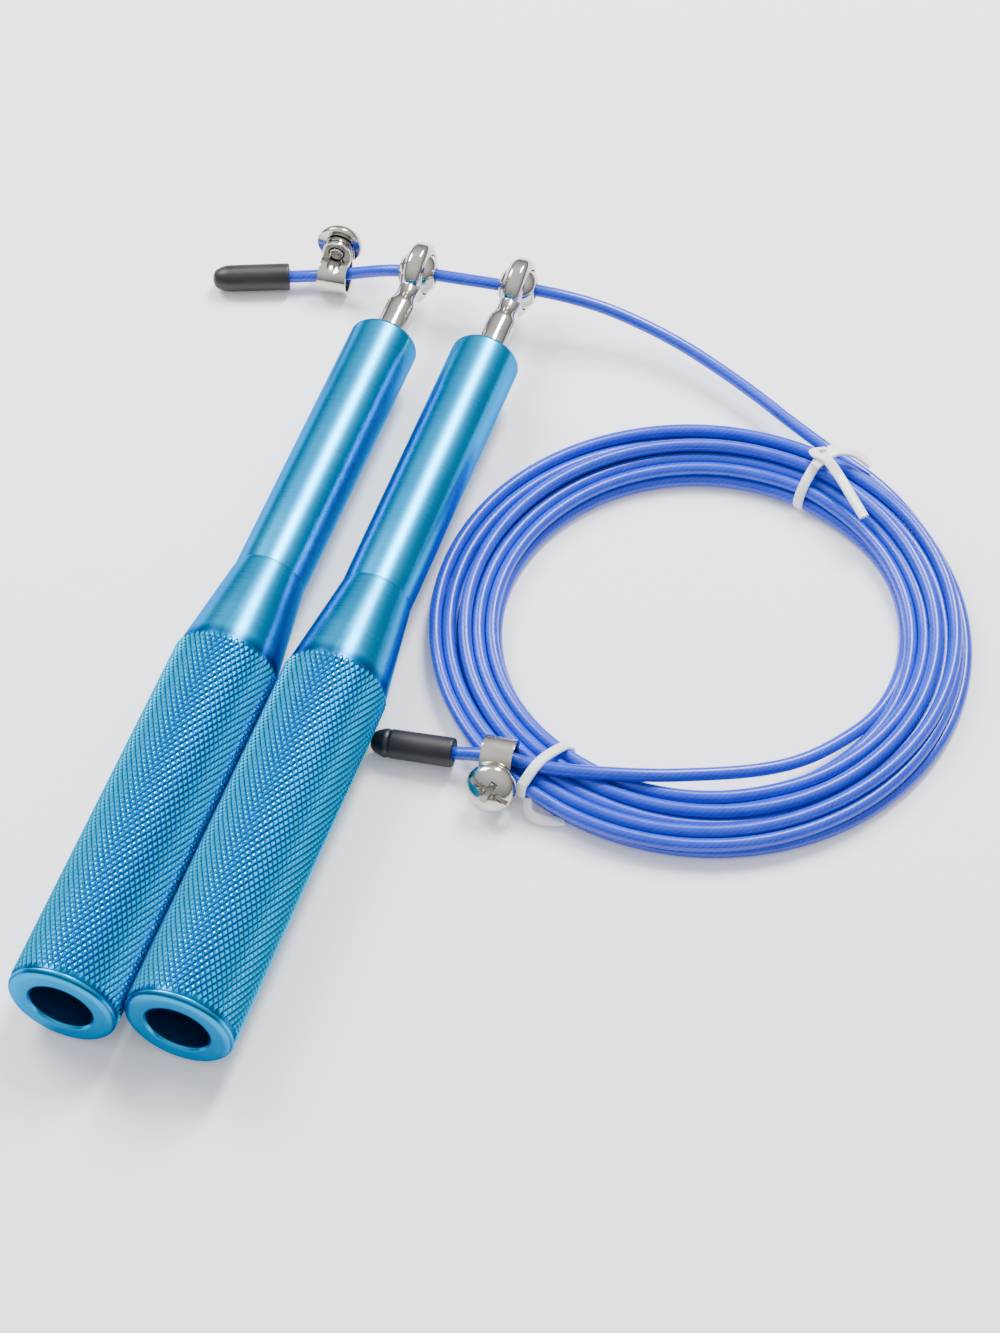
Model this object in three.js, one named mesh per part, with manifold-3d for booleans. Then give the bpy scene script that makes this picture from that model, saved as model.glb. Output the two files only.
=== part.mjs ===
// A speed jump rope, packed for storage. Two bored aluminium handles lie side by side. Each turns on two
// small ball bearings round a rod end, and a coated steel rope runs through the balls of both rod ends.
// The frame: millimetres, +Z up, +Y along the handles from their open tails to their rod ends, X across.
import * as THREE from "three";
import { mergeVertices } from "three/addons/utils/BufferGeometryUtils.js";
import Module from "manifold-3d";

const wasm = await Module();
wasm.setup();

// Driving dimensions
const GAP = 0.3; // clearance between pieces that touch
const GRIP_R = 10; // knurled grip
const COLLAR_R = 9.85; // smooth collar at the tail
const FACE_R = 8.7; // flat ring face of the tail
const NECK_R = 6.9; // smooth neck
const BORE_R = 5.8; // bore open at the tail, and seat of both bearings
const HANDLE_LENGTH = 162;
const COLLAR_LENGTH = 1.4;
const GRIP_END = 77; // where the knurling stops and the cone starts
const CONE_END = 98;
const HEAD_WALL = 4; // wall in front of the bearings
const BALL_CENTRE = 182; // from the tail to the middle of the swivel ball
const STAGGER = 2.3; // how far the right handle lies ahead of the left one
const ROPE_R = 1.25;
const SHANK_R = 3.1;
const JOURNAL_R = 1.85;
const EYE_R = 6;
const EYE_HALF_WIDTH = 2.1;
const BALL_R = 4.4;
const BALL_HALF_WIDTH = 3.6;
const BALL_BORE_R = 1.7;
const COIL_CENTRE = new THREE.Vector2(68, 22.7);
const COIL_OUTER_R = 50.7;
const COIL_INNER_R = 34.4;
const COIL_BASE = 0.1;
const COIL_TOP = 7.4;
const CAP_LENGTH = 15.5;
const CAP_R = 2.75;
const STRAP = { width: 5.8, loopR: 3.7, sheet: 0.8, slit: 0.2, screwX: 4.5, earEnd: 7.4 };
const CLAMP_SCREW = { shankR: 1.4, headR: 4.7, headHeight: 3.2 };
const TIE_WIDTH = 2;
const TIE_THICKNESS = 0.9;
const BEARING = {
  width: 4,
  outerR: 5.5,
  outerLandR: 4.4,
  innerLandR: 3.1,
  innerR: JOURNAL_R + GAP,
  pitchR: 3.75,
  ballR: 0.95,
  grooveR: 1.2,
  balls: 7,
};
const BEARING_SPACING = 16;
const SCREW_HOLE_R = 1.15;
const SCREW_SHANK_R = 0.85;
const WASHER_THICKNESS = 0.8;

const HANDLE_X = GRIP_R + GAP / 2;
const EYE_SOCKET_R = BALL_R + GAP;
const LEFT_TAIL_Y = -(BALL_CENTRE + EYE_R + STAGGER) / 2;
const SIDES = [
  { name: "left", x: -HANDLE_X, tail: LEFT_TAIL_Y },
  { name: "right", x: HANDLE_X, tail: LEFT_TAIL_Y + STAGGER },
];
const ballCentre = (side) => new THREE.Vector3(side.x, side.tail + BALL_CENTRE, GRIP_R);
const ROPE_THROUGH_BALLS = ballCentre(SIDES[1]).sub(ballCentre(SIDES[0])).normalize();

// Materials
const finish = (color, roughness, metalness) =>
  new THREE.MeshStandardMaterial({ color, roughness, metalness });
const anodised = () => finish(0x1e96cc, 0.3, 0.9);
const nickel = () => finish(0xc9c6bf, 0.2, 1);
const bearingSteel = () => finish(0xb4b4b8, 0.25, 1);
const bearingBrass = () => finish(0xb89a52, 0.4, 1);
const ropeSheath = () => finish(0x3563cf, 0.35, 0);
const blackVinyl = () => finish(0x202022, 0.55, 0);
const whiteSheath = () => finish(0xf2f2f0, 0.5, 0);

// Solids
const Y_AXIS = new THREE.Vector3(0, 1, 0);
const Z_AXIS = new THREE.Vector3(0, 0, 1);

function toSolid(geometry) {
  const bare = geometry.clone();
  bare.deleteAttribute("normal");
  bare.deleteAttribute("uv");
  const welded = mergeVertices(bare, 1e-4);
  return new wasm.Manifold(
    new wasm.Mesh({
      numProp: 3,
      vertProperties: new Float32Array(welded.attributes.position.array),
      triVerts: new Uint32Array(welded.index.array),
    }),
  );
}

function toGeometry(solid) {
  const mesh = solid.getMesh();
  return new THREE.BufferGeometry()
    .setAttribute("position", new THREE.BufferAttribute(mesh.vertProperties, 3))
    .setIndex(new THREE.BufferAttribute(mesh.triVerts, 1));
}

// A body of revolution about Y from [radius, y] points that run anticlockwise seen with Y up.
function turned(profile, segments) {
  return new THREE.LatheGeometry(
    profile.map(([radius, y]) => new THREE.Vector2(Math.max(radius, 0), y)),
    segments,
  );
}

function sleeve(innerR, outerR, start, end, segments) {
  return turned(
    [
      [innerR, start],
      [outerR, start],
      [outerR, end],
      [innerR, end],
      [innerR, start],
    ],
    segments,
  );
}

function arcPoints(centreR, centreY, radius, fromDegrees, toDegrees, steps) {
  return Array.from({ length: steps + 1 }, (_, i) => {
    const angle = THREE.MathUtils.degToRad(fromDegrees + ((toDegrees - fromDegrees) * i) / steps);
    return [centreR + radius * Math.cos(angle), centreY + radius * Math.sin(angle)];
  });
}

function tubeAlong(points, radius, sides, steps) {
  const section = new THREE.Shape(
    Array.from({ length: sides }, (_, i) => {
      const angle = (2 * Math.PI * i) / sides;
      return new THREE.Vector2(radius * Math.cos(angle), radius * Math.sin(angle));
    }),
  );
  const path = new THREE.CatmullRomCurve3(points, false, "centripetal");
  return new THREE.ExtrudeGeometry(section, { steps, extrudePath: path, bevelEnabled: false });
}

function part(name, geometry, material) {
  const mesh = new THREE.Mesh(geometry, material);
  mesh.name = name;
  return mesh;
}

// Handle: grip, cone and neck in one bored piece
function handleBody() {
  return turned(
    [
      [BORE_R, 0],
      [FACE_R, 0],
      [9.5, 0.5],
      [COLLAR_R, 1.3],
      [COLLAR_R, COLLAR_LENGTH],
      [GRIP_R, COLLAR_LENGTH + 0.2],
      [GRIP_R, GRIP_END],
      [GRIP_R - 0.3, GRIP_END + 0.8],
      [NECK_R + 0.25, CONE_END - 2],
      [NECK_R, CONE_END],
      [NECK_R, HANDLE_LENGTH - 0.8],
      [NECK_R - 0.8, HANDLE_LENGTH],
      [SHANK_R + 0.4, HANDLE_LENGTH],
      [SHANK_R + 0.4, HANDLE_LENGTH - HEAD_WALL],
      [BORE_R, HANDLE_LENGTH - HEAD_WALL],
      [BORE_R, 0],
    ],
    32,
  );
}

// Ball bearing, 4 x 11 x 4: an outer ring, an inner ring, and a cage that carries the balls
const FRONT_BEARING = HANDLE_LENGTH - HEAD_WALL - GAP - BEARING.width;
const REAR_BEARING = FRONT_BEARING - BEARING_SPACING;
const ROD_TAIL = REAR_BEARING;
const SCREW_HOLE_END = ROD_TAIL + 6.5;

function grooveAngle(landR) {
  return THREE.MathUtils.radToDeg(Math.acos(Math.abs(landR - BEARING.pitchR) / BEARING.grooveR));
}

function outerRace() {
  const half = grooveAngle(BEARING.outerLandR);
  return turned(
    [
      [BEARING.outerLandR, 0],
      [BEARING.outerR, 0],
      [BEARING.outerR, BEARING.width],
      [BEARING.outerLandR, BEARING.width],
      ...arcPoints(BEARING.pitchR, BEARING.width / 2, BEARING.grooveR, half, -half, 4),
      [BEARING.outerLandR, 0],
    ],
    18,
  );
}

function innerRace() {
  const half = grooveAngle(BEARING.innerLandR);
  return turned(
    [
      [BEARING.innerR, 0],
      [BEARING.innerLandR, 0],
      ...arcPoints(BEARING.pitchR, BEARING.width / 2, BEARING.grooveR, 180 + half, 180 - half, 4),
      [BEARING.innerLandR, BEARING.width],
      [BEARING.innerR, BEARING.width],
      [BEARING.innerR, 0],
    ],
    18,
  );
}

function ballCage() {
  const middle = BEARING.width / 2;
  let cage = toSolid(
    sleeve(BEARING.innerLandR + GAP, BEARING.outerLandR - GAP, middle - 1.4, middle + 1.4, 18),
  );
  for (let i = 0; i < BEARING.balls; i++) {
    const angle = (2 * Math.PI * i) / BEARING.balls;
    const ball = new THREE.SphereGeometry(BEARING.ballR, 6, 4);
    ball.translate(BEARING.pitchR * Math.cos(angle), middle, BEARING.pitchR * Math.sin(angle));
    cage = cage.add(toSolid(ball));
  }
  return toGeometry(cage);
}

// Rod end: a journal for the bearings, a round shank, a waisted neck and an eye with a spherical seat
function rodEnd() {
  const shank = turned(
    [
      [0, SCREW_HOLE_END],
      [SCREW_HOLE_R, SCREW_HOLE_END],
      [SCREW_HOLE_R, ROD_TAIL],
      [JOURNAL_R, ROD_TAIL],
      [JOURNAL_R, HANDLE_LENGTH - HEAD_WALL],
      [SHANK_R, HANDLE_LENGTH - HEAD_WALL],
      [SHANK_R, BALL_CENTRE - 10.2],
      [SHANK_R - 0.5, BALL_CENTRE - 8.2],
      [SHANK_R - 0.8, BALL_CENTRE - 6.6],
      [SHANK_R - 0.8, BALL_CENTRE - 5],
      [0, BALL_CENTRE - 5],
    ],
    20,
  );
  const seat = [-1, -0.5, 0, 0.5, 1].map((t) => {
    const across = t * EYE_HALF_WIDTH;
    return [Math.sqrt(EYE_SOCKET_R ** 2 - across ** 2), across];
  });
  const eye = turned(
    [
      seat[0],
      [EYE_R - 0.7, -EYE_HALF_WIDTH],
      [EYE_R, -EYE_HALF_WIDTH + 0.7],
      [EYE_R, EYE_HALF_WIDTH - 0.7],
      [EYE_R - 0.7, EYE_HALF_WIDTH],
      ...seat.slice().reverse(),
    ],
    28,
  );
  eye.rotateZ(Math.PI / 2).translate(0, BALL_CENTRE, 0);
  const socket = new THREE.SphereGeometry(EYE_SOCKET_R, 24, 12).translate(0, BALL_CENTRE, 0);
  return toGeometry(toSolid(shank).subtract(toSolid(socket)).add(toSolid(eye)));
}

function swivelBall() {
  const rim = THREE.MathUtils.radToDeg(Math.asin(BALL_HALF_WIDTH / BALL_R));
  return turned(
    [
      [BALL_BORE_R, -BALL_HALF_WIDTH],
      ...arcPoints(0, 0, BALL_R, -rim, rim, 6),
      [BALL_BORE_R, BALL_HALF_WIDTH],
      [BALL_BORE_R, -BALL_HALF_WIDTH],
    ],
    18,
  );
}

function retainingScrew() {
  const seatY = ROD_TAIL - 2 * GAP - WASHER_THICKNESS;
  return turned(
    [
      [0, seatY - 1.6],
      [1.3, seatY - 1.6],
      [1.9, seatY - 1.1],
      [2.0, seatY],
      [SCREW_SHANK_R, seatY],
      [SCREW_SHANK_R, SCREW_HOLE_END - 0.8],
      [0, SCREW_HOLE_END - 0.8],
    ],
    14,
  );
}

function handleAssembly(side) {
  const group = new THREE.Group();
  group.position.set(side.x, side.tail, GRIP_R);
  group.add(part("handle_" + side.name, handleBody(), anodised()));
  for (const [place, start] of [
    ["front", FRONT_BEARING],
    ["rear", REAR_BEARING],
  ]) {
    const bearing = new THREE.Group();
    bearing.position.y = start;
    const label = place + "_bearing_";
    bearing.add(part(label + "outer_race_" + side.name, outerRace(), bearingSteel()));
    bearing.add(part(label + "inner_race_" + side.name, innerRace(), bearingSteel()));
    bearing.add(part(label + "ball_cage_" + side.name, ballCage(), bearingBrass()));
    group.add(bearing);
  }
  const spacer = sleeve(
    JOURNAL_R + GAP,
    BEARING.innerLandR,
    REAR_BEARING + BEARING.width + GAP,
    FRONT_BEARING - GAP,
    16,
  );
  const washer = sleeve(
    SCREW_SHANK_R + GAP,
    BEARING.innerLandR,
    ROD_TAIL - GAP - WASHER_THICKNESS,
    ROD_TAIL - GAP,
    16,
  );
  group.add(part("bearing_spacer_" + side.name, spacer, nickel()));
  group.add(part("retaining_washer_" + side.name, washer, nickel()));
  group.add(part("retaining_screw_" + side.name, retainingScrew(), nickel()));
  group.add(part("rod_end_" + side.name, rodEnd(), nickel()));
  const ball = part("swivel_ball_" + side.name, swivelBall(), nickel());
  ball.position.y = BALL_CENTRE;
  ball.quaternion.setFromUnitVectors(Y_AXIS, ROPE_THROUGH_BALLS);
  group.add(ball);
  return group;
}

// End cap: a vinyl cap from its open mouth to its domed closed end, along the rope's end
function endCap(name, mouth, tip) {
  const cap = part(
    name,
    turned(
      [
        [0, 0],
        [CAP_R - 0.25, 0],
        [CAP_R, 0.3],
        ...arcPoints(CAP_R - 1.8, CAP_LENGTH - 1.8, 1.8, 0, 90, 3),
        [0, CAP_LENGTH],
      ],
      14,
    ),
    blackVinyl(),
  );
  cap.position.copy(mouth);
  cap.quaternion.setFromUnitVectors(Y_AXIS, tip.clone().sub(mouth).normalize());
  return cap;
}

// Rope clamp: a strap rolled round the rope, whose two ears lie together under a domed screw.
// In its own frame the rope runs along Z, the ears run out along +X and the screw's head faces +Y.
function clampStrap() {
  const innerR = STRAP.loopR - STRAP.sheet;
  const lowerEarTop = innerR - STRAP.slit;
  const lowerEarBase = lowerEarTop - STRAP.sheet;
  const outline = new THREE.Shape();
  outline.moveTo(STRAP.earEnd, STRAP.loopR);
  outline.lineTo(0, STRAP.loopR);
  outline.absarc(0, 0, STRAP.loopR, Math.PI / 2, 2 * Math.PI + Math.asin(lowerEarBase / STRAP.loopR));
  outline.lineTo(STRAP.earEnd, lowerEarBase);
  outline.lineTo(STRAP.earEnd, lowerEarTop);
  outline.absarc(0, 0, innerR, Math.asin(lowerEarTop / innerR), -1.5 * Math.PI, true);
  outline.lineTo(STRAP.earEnd, innerR);
  const strip = new THREE.ExtrudeGeometry(outline, {
    depth: STRAP.width,
    bevelEnabled: false,
    curveSegments: 20,
  });
  strip.translate(0, 0, -STRAP.width / 2);
  const hole = new THREE.CylinderGeometry(CLAMP_SCREW.shankR + GAP, CLAMP_SCREW.shankR + GAP, 10, 16);
  hole.translate(STRAP.screwX, STRAP.loopR, 0);
  return toGeometry(toSolid(strip).subtract(toSolid(hole)));
}

function clampScrew() {
  const seatY = STRAP.loopR + GAP;
  const { shankR, headR, headHeight } = CLAMP_SCREW;
  const domed = turned(
    [
      [0, STRAP.loopR - 2 * STRAP.sheet - STRAP.slit - 0.3],
      [shankR, STRAP.loopR - 2 * STRAP.sheet - STRAP.slit - 0.3],
      [shankR, seatY],
      [headR - 0.2, seatY],
      [headR, seatY + 0.5],
      [headR * 0.93, seatY + headHeight * 0.5],
      [headR * 0.7, seatY + headHeight * 0.83],
      [headR * 0.36, seatY + headHeight * 0.97],
      [0, seatY + headHeight],
    ],
    20,
  );
  let screw = toSolid(domed);
  for (const turn of [0, Math.PI / 2]) {
    const slot = new THREE.BoxGeometry(5, 2.4, 0.9);
    slot.rotateY(turn).translate(0, seatY + headHeight, 0);
    screw = screw.subtract(toSolid(slot));
  }
  return toGeometry(screw).translate(STRAP.screwX, 0, 0);
}

function ropeClamp(label, centre, along, tiltDegrees) {
  const level = new THREE.Vector3().crossVectors(Z_AXIS, along).normalize();
  const upright = new THREE.Vector3().crossVectors(along, level).normalize();
  const tilt = THREE.MathUtils.degToRad(tiltDegrees);
  const ears = level.clone().multiplyScalar(Math.cos(tilt));
  ears.addScaledVector(upright, Math.sin(tilt));
  const facing = level.clone().multiplyScalar(Math.sin(tilt));
  facing.addScaledVector(upright, -Math.cos(tilt));
  const group = new THREE.Group();
  const across = new THREE.Vector3().crossVectors(ears, facing);
  group.quaternion.setFromRotationMatrix(new THREE.Matrix4().makeBasis(ears, facing, across));
  group.position.copy(centre);
  group.add(part("clamp_strap_" + label, clampStrap(), nickel()));
  group.add(part("clamp_screw_" + label, clampScrew(), nickel()));
  return group;
}

// Coil of rope: a ring with a groove for each tie, and a shelf cut where the rope's second end lies over it
const TIES = [
  { label: "a", degrees: 76, tail: new THREE.Vector3(9, -8.5, 0) },
  { label: "b", degrees: -113, tail: new THREE.Vector3(6, -4, 0) },
];

function tieLoop(thickness, width) {
  const outer = new THREE.Shape();
  const rectangle = (path, inset) => {
    path.moveTo(COIL_INNER_R + inset, COIL_BASE + inset);
    path.lineTo(COIL_OUTER_R - inset, COIL_BASE + inset);
    path.lineTo(COIL_OUTER_R - inset, COIL_TOP - inset);
    path.lineTo(COIL_INNER_R + inset, COIL_TOP - inset);
    path.closePath();
    return path;
  };
  rectangle(outer, 0);
  outer.holes.push(rectangle(new THREE.Path(), thickness));
  const loop = new THREE.ExtrudeGeometry(outer, { depth: width, bevelEnabled: false });
  return loop.translate(0, 0, -width / 2).rotateX(Math.PI / 2);
}

function placeOnCoil(geometry, degrees) {
  return geometry
    .rotateZ(THREE.MathUtils.degToRad(degrees))
    .translate(COIL_CENTRE.x, COIL_CENTRE.y, 0);
}

const SHELF = new THREE.Box3(new THREE.Vector3(25, -34, 2.7), new THREE.Vector3(48.4, -12, 9));

function ropeCoil() {
  const ring = sleeve(COIL_INNER_R, COIL_OUTER_R, COIL_BASE, COIL_TOP, 64).rotateX(Math.PI / 2);
  let coil = toSolid(placeOnCoil(ring, 0));
  for (const tie of TIES) {
    const groove = tieLoop(TIE_THICKNESS + GAP, TIE_WIDTH + 2 * GAP);
    coil = coil.subtract(toSolid(placeOnCoil(groove, tie.degrees)));
  }
  const size = SHELF.getSize(new THREE.Vector3());
  const shelf = new THREE.BoxGeometry(size.x, size.y, size.z);
  shelf.translate(...SHELF.getCenter(new THREE.Vector3()).toArray());
  return toGeometry(coil.subtract(toSolid(shelf)));
}

function twistTie(tie) {
  const loop = toSolid(placeOnCoil(tieLoop(TIE_THICKNESS, TIE_WIDTH), tie.degrees));
  const angle = THREE.MathUtils.degToRad(tie.degrees);
  const middleR = (COIL_INNER_R + COIL_OUTER_R) / 2;
  const knot = new THREE.Vector3(
    COIL_CENTRE.x + middleR * Math.cos(angle),
    COIL_CENTRE.y + middleR * Math.sin(angle),
    COIL_TOP,
  );
  const tail = tubeAlong(
    [
      knot.clone().add(new THREE.Vector3(0, 0, -TIE_THICKNESS / 2)),
      knot.clone().add(new THREE.Vector3(0, 0, 1.6)),
      knot.clone().addScaledVector(tie.tail, 0.5).setZ(COIL_TOP + 1.8),
      knot.clone().add(tie.tail).setZ(COIL_TOP + 1.2),
    ],
    0.8,
    6,
    8,
  );
  return toGeometry(loop.add(toSolid(tail)));
}

// Rope: from the first cap through its clamp and both balls to the coil, then from the coil to the second cap
const point = (x, y, z) => new THREE.Vector3(x, y, z);
const [LEFT_BALL, RIGHT_BALL] = SIDES.map(ballCentre);
const beside = (ball, distance) => ball.clone().addScaledVector(ROPE_THROUGH_BALLS, distance);

const CAP_A_MOUTH = point(-37, 83.8, 2.95);
const CAP_A_TIP = point(-51.5, 78.4, 2.85);
const CLAMP_A = point(-28, 86.1, 3.9);
const FIRST_END = [
  point(-36.7, 83.9, 2.97),
  point(-33, 85.1, 3.3),
  CLAMP_A,
  point(-23, 86.4, 5.6),
  point(-18.6, 86.3, 8.2),
  beside(LEFT_BALL, -4.4),
  LEFT_BALL,
  beside(LEFT_BALL, 5),
  beside(RIGHT_BALL, -5),
  RIGHT_BALL,
  beside(RIGHT_BALL, 4.4),
  point(20, 90.2, 9.6),
  point(27.5, 90.7, 8.3),
  point(35.2, 90.5, 6.2),
  point(43.9, 89.2, 4),
  point(53.1, 86.4, 2.2),
  point(62.5, 82.5, 1.45),
  point(70.5, 78.6, 1.4),
  point(77.5, 74.2, 1.8),
];

const CAP_B_MOUTH = point(34, -19.6, 4.1);
const CAP_B_TIP = point(18.7, -20.9, 2.9);
const CLAMP_B = point(42.7, -19.6, 6.75);
const SECOND_END = [
  point(34.4, -19.6, 4.2),
  point(38, -19.7, 5.6),
  CLAMP_B,
  point(45.6, -19, 6.5),
  point(47.5, -18.2, 5.8),
];

const FIRST_CLAMP_TILT = 90;
const SECOND_CLAMP_TILT = 235;
const FIRST_ALONG = point(1, 0.1, 0).normalize();
const SECOND_ALONG = point(1, 0.08, 0.05).normalize();

// The whole object
const jumpRope = new THREE.Group();
for (const side of SIDES) jumpRope.add(handleAssembly(side));
jumpRope.add(part("rope_end_a", tubeAlong(FIRST_END, ROPE_R, 8, 34), ropeSheath()));
jumpRope.add(part("rope_end_b", tubeAlong(SECOND_END, ROPE_R, 8, 6), ropeSheath()));
jumpRope.add(part("rope_coil", ropeCoil(), ropeSheath()));
jumpRope.add(endCap("end_cap_a", CAP_A_MOUTH, CAP_A_TIP));
jumpRope.add(endCap("end_cap_b", CAP_B_MOUTH, CAP_B_TIP));
jumpRope.add(ropeClamp("a", CLAMP_A, FIRST_ALONG, FIRST_CLAMP_TILT));
jumpRope.add(ropeClamp("b", CLAMP_B, SECOND_ALONG, SECOND_CLAMP_TILT));
for (const tie of TIES) jumpRope.add(part("twist_tie_" + tie.label, twistTie(tie), whiteSheath()));

export default jumpRope;
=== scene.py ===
import math

import bmesh
import bpy
import numpy as np
from mathutils import Matrix, Vector


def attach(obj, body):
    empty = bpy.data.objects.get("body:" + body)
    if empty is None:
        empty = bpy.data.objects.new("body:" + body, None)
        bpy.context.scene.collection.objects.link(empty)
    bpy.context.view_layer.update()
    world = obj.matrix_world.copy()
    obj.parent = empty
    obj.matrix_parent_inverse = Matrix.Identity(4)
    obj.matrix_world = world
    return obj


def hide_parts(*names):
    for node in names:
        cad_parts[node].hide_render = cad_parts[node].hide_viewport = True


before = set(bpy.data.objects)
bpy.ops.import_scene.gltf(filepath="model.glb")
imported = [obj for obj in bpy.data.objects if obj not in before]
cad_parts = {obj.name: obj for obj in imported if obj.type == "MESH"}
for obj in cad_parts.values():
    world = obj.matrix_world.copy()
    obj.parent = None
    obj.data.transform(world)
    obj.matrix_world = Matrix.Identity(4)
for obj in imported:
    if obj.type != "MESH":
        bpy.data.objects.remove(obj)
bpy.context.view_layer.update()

MM = 0.001

# Sizes in millimetres, the same as the CAD's
GRIP_R = 10
COLLAR_R = 9.85
FACE_R = 8.7
NECK_R = 6.9
BORE_R = 5.8
HANDLE_LENGTH = 162
COLLAR_LENGTH = 1.4
GRIP_END = 77
CONE_END = 98
HEAD_WALL = 4
BALL_CENTRE = 182
HANDLE_X = 10.15
TAILS = {"left": -95.15, "right": -92.85}
ROPE_R = 1.25
ROPE_D = 2 * ROPE_R
ROPE_SPACING = 1.3
ROPE_SIDES = 16
SHANK_R = 3.1
JOURNAL_R = 1.85
ROD_TAIL = 137.7
SCREW_HOLE_R = 1.15
SCREW_HOLE_DEPTH = 6.5
EYE_R = 6
EYE_HALF_WIDTH = 2.1
EYE_SOCKET_R = 4.7
BALL_R = 4.4
BALL_HALF_WIDTH = 3.6
BALL_BORE_R = 1.7
COIL_X = 68
COIL_Y = 22.7
COIL_OUTER_R = 50.7
CAP_R = 2.75
CAP_LENGTH = 15.5
STRAP_LOOP_R = 3.7
STRAP_SHEET = 0.8
STRAP_SLIT = 0.2
STRAP_WIDTH = 5.8
STRAP_EAR_END = 7.4
CLAMP_SCREW_X = 4.5
CLAMP_HEAD_R = 4.7
CLAMP_HEAD_HEIGHT = 3.2
CLAMP_SHANK_R = 1.4
CLAMP_SEAT = STRAP_LOOP_R + 0.3
CLAMP_TIP = STRAP_LOOP_R - 2 * STRAP_SHEET - STRAP_SLIT - 0.3
RECESS_TURN = 63  # degrees from the ears to the slot
RECESS_ABOVE = (0.4, 2.5, 0.75)  # a wing's edge over the head: height, reach and half width
RECESS_BELOW = (-1.7, 1.15, 0.4)  # the same for its bottom
SLOT_SIZE = (12, 2.2, 0.95)
SLOT_LIFT = 0.05
STRAP_SPACING = 0.3
STRAP_COLUMNS = 13
STRAP_DRILL_GAP = 0.3
KNURL_STARTS = 54  # grooves each way round the grip
KNURL_PITCH = 2.0
KNURL_DEPTH = 0.36
KNURL_TOP = 0.22  # of a diamond's size that is flat on top
COLUMNS = 2 * KNURL_STARTS
WELD_DISTANCE = 0.01
TIE_ANGLES = {"a": 76, "b": -113}
TIE_HALF_WIDTH = 1.0
TIE_HALF_THICKNESS = 0.45
ALONG_Y = (0, 1, 0)
UP = (0, 0, 1)

BALLS = {
    "left": np.array([-HANDLE_X, TAILS["left"] + BALL_CENTRE, GRIP_R]),
    "right": np.array([HANDLE_X, TAILS["right"] + BALL_CENTRE, GRIP_R]),
}
THROUGH_BALLS = BALLS["right"] - BALLS["left"]
THROUGH_BALLS /= np.linalg.norm(THROUGH_BALLS)


# Camera
camera_data = bpy.data.cameras.new("camera")
camera_data.sensor_width = 36
camera_data.lens = 89.1
camera_data.clip_start = 0.01
camera = bpy.data.objects.new("camera", camera_data)
camera.location = (0.1537, -0.3501, 0.486)
camera.rotation_euler = (math.radians(37.6), 0, math.radians(18.55))
bpy.context.scene.collection.objects.link(camera)
bpy.context.scene.camera = camera


# Mesh helpers
def make_object(name, vertices, faces, uvs=None, sharp_degrees=35):
    """An object from points in millimetres, with smooth shading up to an angle."""
    mesh = bpy.data.meshes.new(name)
    mesh.from_pydata([tuple(np.asarray(v, float) * MM) for v in vertices], [], faces)
    if uvs is not None:
        layer = mesh.uv_layers.new(name="UVMap")
        layer.data.foreach_set("uv", np.asarray(uvs, np.float32).ravel())
    mesh.polygons.foreach_set("use_smooth", [True] * len(mesh.polygons))
    mesh.set_sharp_from_angle(angle=math.radians(sharp_degrees))
    made = bpy.data.objects.new(name, mesh)
    bpy.context.scene.collection.objects.link(made)
    return made


def filleted(corners, steps=4):
    """A profile from (radius, y, fillet) corners, each fillet drawn as a short curve."""
    points = []
    for i, (radius, y, fillet) in enumerate(corners):
        here = np.array([radius, y], float)
        if fillet == 0 or i in (0, len(corners) - 1):
            points.append(here)
            continue
        before = np.array(corners[i - 1][:2], float) - here
        after = np.array(corners[i + 1][:2], float) - here
        start = here + before * min(0.48, fillet / np.linalg.norm(before))
        end = here + after * min(0.48, fillet / np.linalg.norm(after))
        for t in np.linspace(0, 1, steps + 1):
            points.append((1 - t) ** 2 * start + 2 * t * (1 - t) * here + t**2 * end)
    return points


def revolve(profile, segments, closed=False):
    """Vertices and quads of a profile turned about Y, whose ends on the axis become one point."""
    vertices, rings, faces = [], [], []
    for radius, y in profile:
        if radius < 1e-6:
            rings.append([len(vertices)] * segments)
            vertices.append((0, y, 0))
            continue
        rings.append(list(range(len(vertices), len(vertices) + segments)))
        for i in range(segments):
            angle = 2 * math.pi * i / segments
            vertices.append((radius * math.cos(angle), y, -radius * math.sin(angle)))
    pairs = list(zip(rings, rings[1:]))
    if closed:
        pairs.append((rings[-1], rings[0]))
    for low, high in pairs:
        for i in range(segments):
            j = (i + 1) % segments
            face = [low[i], low[j], high[j], high[i]]
            face = [v for n, v in enumerate(face) if v != face[n - 1]]
            if len(face) > 2:
                faces.append(face)
    return vertices, faces


def between(a, b, start, end, t):
    """A value on the way from a at start to b at end."""
    return ((end - t) * a + (t - start) * b) / (end - start)


def smooth_route(points, spacing):
    """Evenly spaced points on a centripetal Catmull-Rom curve through the given ones."""
    p = np.asarray(points, float)
    p = np.vstack([2 * p[0] - p[1], p, 2 * p[-1] - p[-2]])
    knots = np.concatenate([[0], np.cumsum(np.linalg.norm(np.diff(p, axis=0), axis=1) ** 0.5)])
    fine = []
    for i in range(1, len(p) - 2):
        k = knots[i - 1 : i + 3]
        for t in np.linspace(k[1], k[2], 12, endpoint=False):
            first = [between(p[i - 1 + n], p[i + n], k[n], k[n + 1], t) for n in range(3)]
            second = [between(first[n], first[n + 1], k[n], k[n + 2], t) for n in range(2)]
            fine.append(between(second[0], second[1], k[1], k[2], t))
    fine.append(p[-2])
    return evenly(np.array(fine), spacing)


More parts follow.
